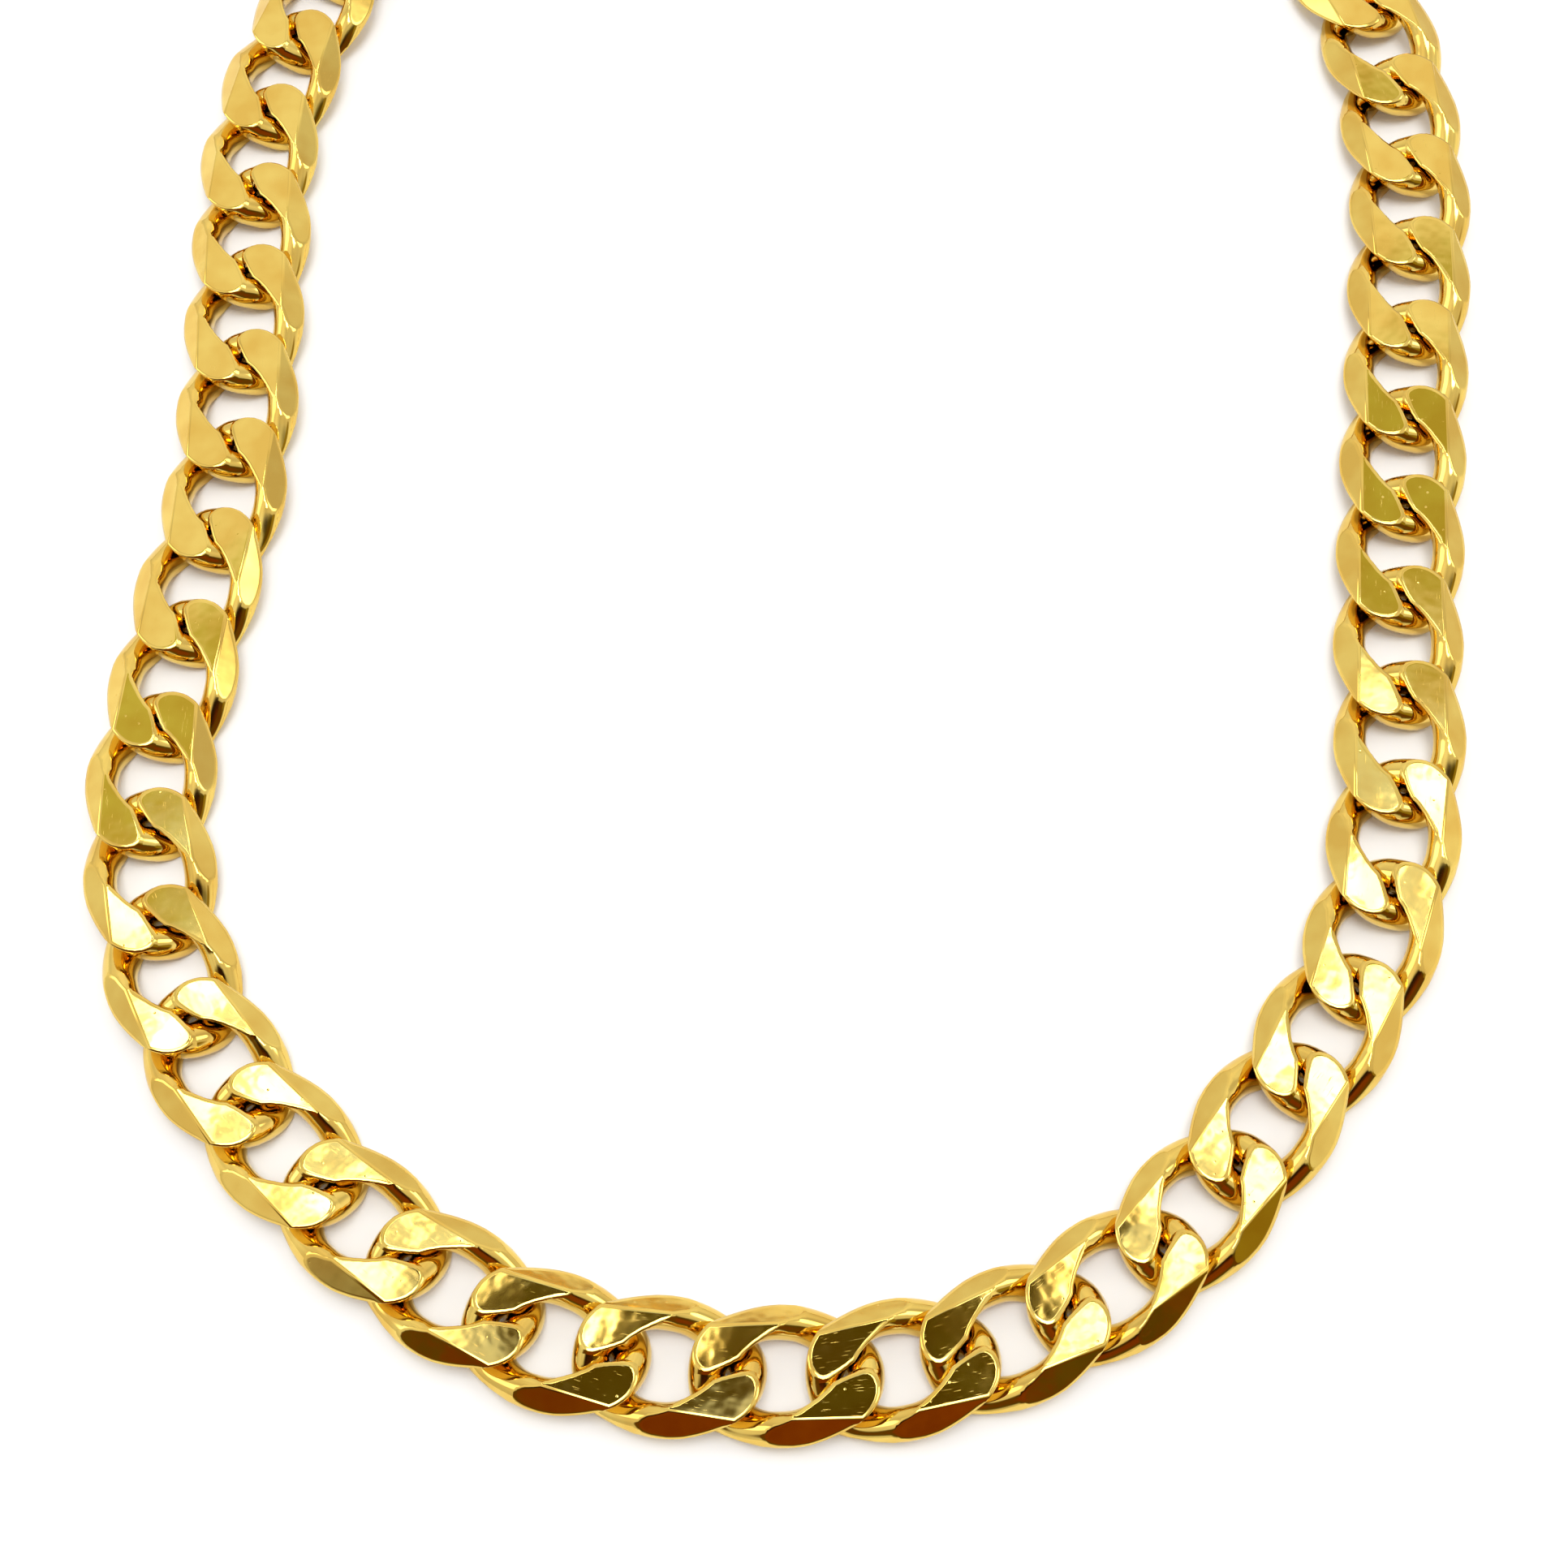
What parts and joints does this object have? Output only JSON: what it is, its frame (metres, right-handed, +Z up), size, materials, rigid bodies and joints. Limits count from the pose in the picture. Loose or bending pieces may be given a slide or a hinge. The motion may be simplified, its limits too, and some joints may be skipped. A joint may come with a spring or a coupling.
{
  "type": "curb chain necklace",
  "caption": "Flat curb chain necklace of interlocked twisted links with ground faces and bevelled edges, closed by a plain box clasp and lying as a whole loop.",
  "frame": {"origin": "middle of the necklace's outline as it lies, on the surface that it lies on", "axes": "+Z up from the surface, +Y from the front of the loop towards the clasp, +X to the right as the picture shows it"},
  "size_m": [0.139, 0.195, 0.0034],
  "materials": {
    "left_links": "polished yellow gold plating with diamond-cut bevels",
    "right_links": "polished yellow gold plating with diamond-cut bevels",
    "clasp_metal": "polished yellow gold plating"
  },
  "bodies": {
    "root": {"chain_left": "left_links", "chain_right": "right_links", "clasp": "clasp_metal"}
  },
  "joints": []
}
